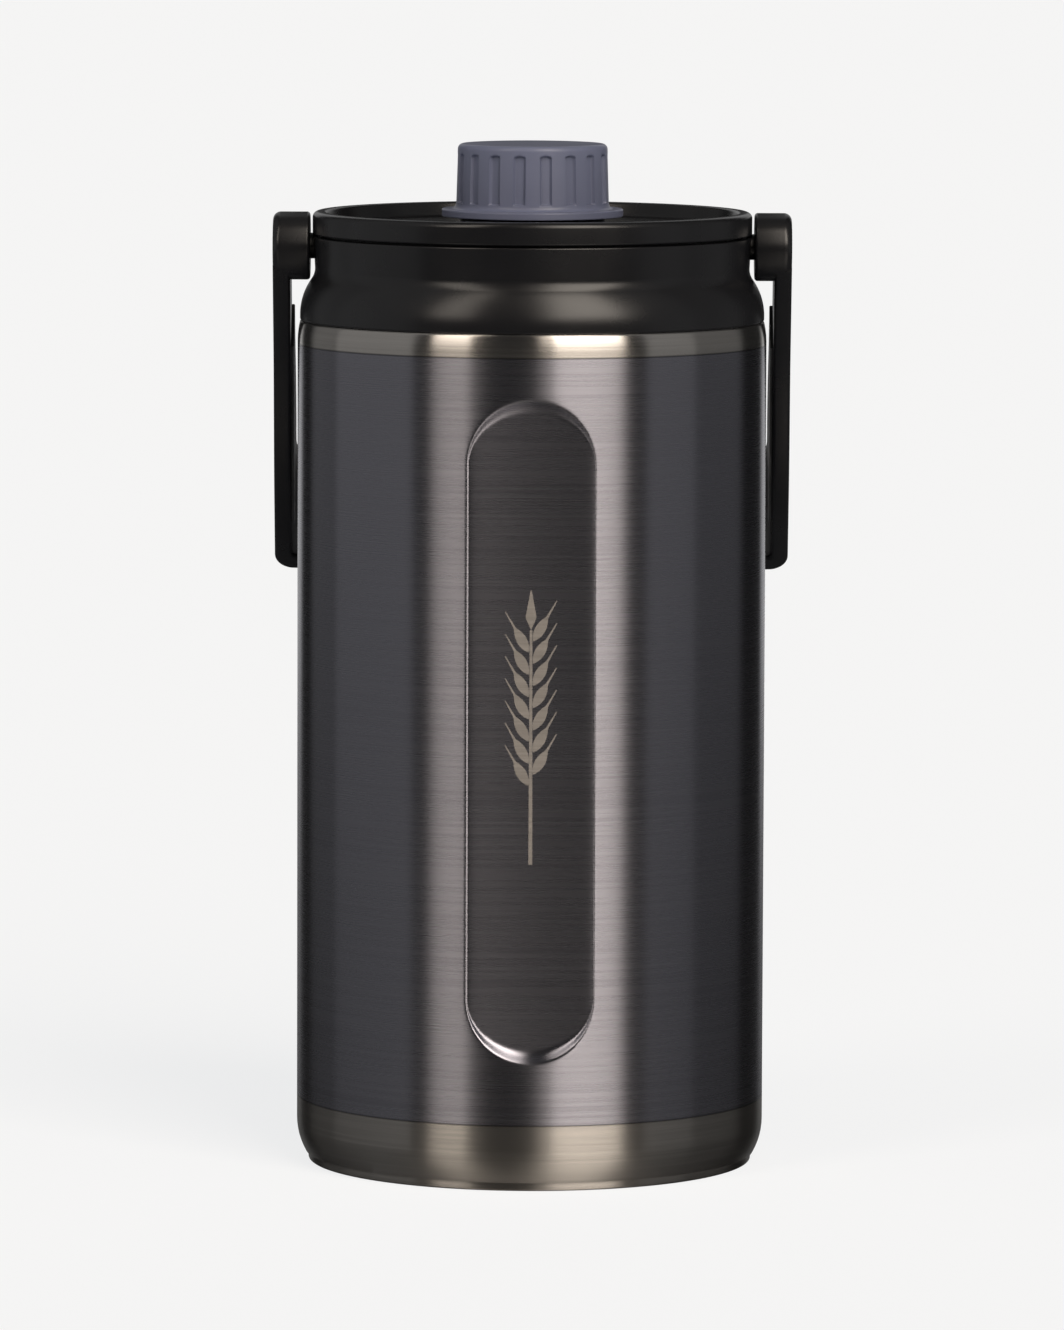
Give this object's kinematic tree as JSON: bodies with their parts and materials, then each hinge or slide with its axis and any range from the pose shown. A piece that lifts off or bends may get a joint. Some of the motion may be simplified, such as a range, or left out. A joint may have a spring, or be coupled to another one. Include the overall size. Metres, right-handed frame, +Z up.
{
  "type": "growler",
  "caption": "Insulated double-walled steel growler with grip hollows, a plastic collar with swinging bail handle, a screw lid, and a ribbed screw cap on its pour spout.",
  "frame": {"origin": "middle of the foot ring, on the surface that the growler stands on", "axes": "+Z up along the body's axis, +X along the handle's pivots, -Y to the front, with the handle hanging at the back, +Y"},
  "size_m": [0.135, 0.1454, 0.2616],
  "materials": {
    "steel": "circumferentially brushed stainless steel",
    "lacquered_steel": "charcoal translucent lacquer over brushed steel, bare at the top and bottom bands",
    "stainless_fastener": "satin stainless steel",
    "getter_metal": "dull pressed metal",
    "solder_glass": "fused solder glass",
    "black_polypropylene": "fine matte moulded",
    "inner_polypropylene": "satin moulded",
    "soft_grip": "soft matte overmould",
    "silicone": "translucent grey silicone",
    "foam": "rigid polyurethane foam",
    "slate_polypropylene": "slate grey satin moulded"
  },
  "bodies": {
    "vessel": {"outer_shell": "lacquered_steel", "base_plate": "steel", "inner_liner": "steel", "getter_cup": "getter_metal", "seal_bead": "solder_glass", "collar": "black_polypropylene", "collar_seal": "silicone", "pivot_screws": "stainless_fastener", "pivot_washers": "stainless_fastener"},
    "handle": {"handle_frame": "black_polypropylene", "handle_grip": "soft_grip", "hub_caps": "black_polypropylene"},
    "lid_seal": {"lid_gasket": "silicone"},
    "lid": {"lid_shell": "black_polypropylene", "lid_plug": "inner_polypropylene", "lid_foam": "foam", "spout": "inner_polypropylene", "spout_gasket": "silicone"},
    "cap_disc": {"cap_seal": "silicone"},
    "cap": {"cap_shell": "slate_polypropylene", "cap_insert": "inner_polypropylene"}
  },
  "joints": [
    {"name": "handle_swing", "type": "hinge", "parent": "vessel", "child": "handle", "pos_m": [0, 0, 0.2353], "axis": [1, 0, 0], "range_deg": [0, 271]},
    {"name": "lid_lift", "type": "slide", "parent": "vessel", "child": "lid_seal", "axis": [0, 0, 1], "range_m": [0, 0.0281]},
    {"name": "lid_turn", "type": "hinge", "parent": "lid_seal", "child": "lid", "pos_m": [0, 0, 0.2365], "axis": [0, 0, 1], "range_deg": [0, 840]},
    {"name": "cap_lift", "type": "slide", "parent": "lid", "child": "cap_disc", "axis": [0, 0, 1], "range_m": [0, 0.0161]},
    {"name": "cap_turn", "type": "hinge", "parent": "cap_disc", "child": "cap", "pos_m": [0, 0, 0.2565], "axis": [0, 0, 1], "range_deg": [0, 960]}
  ],
  "couplings": [
    {"joint": "lid_lift", "follows": "lid_turn", "m_per_rad": 0.0019099},
    {"joint": "cap_lift", "follows": "cap_turn", "m_per_rad": 0.00095493}
  ]
}
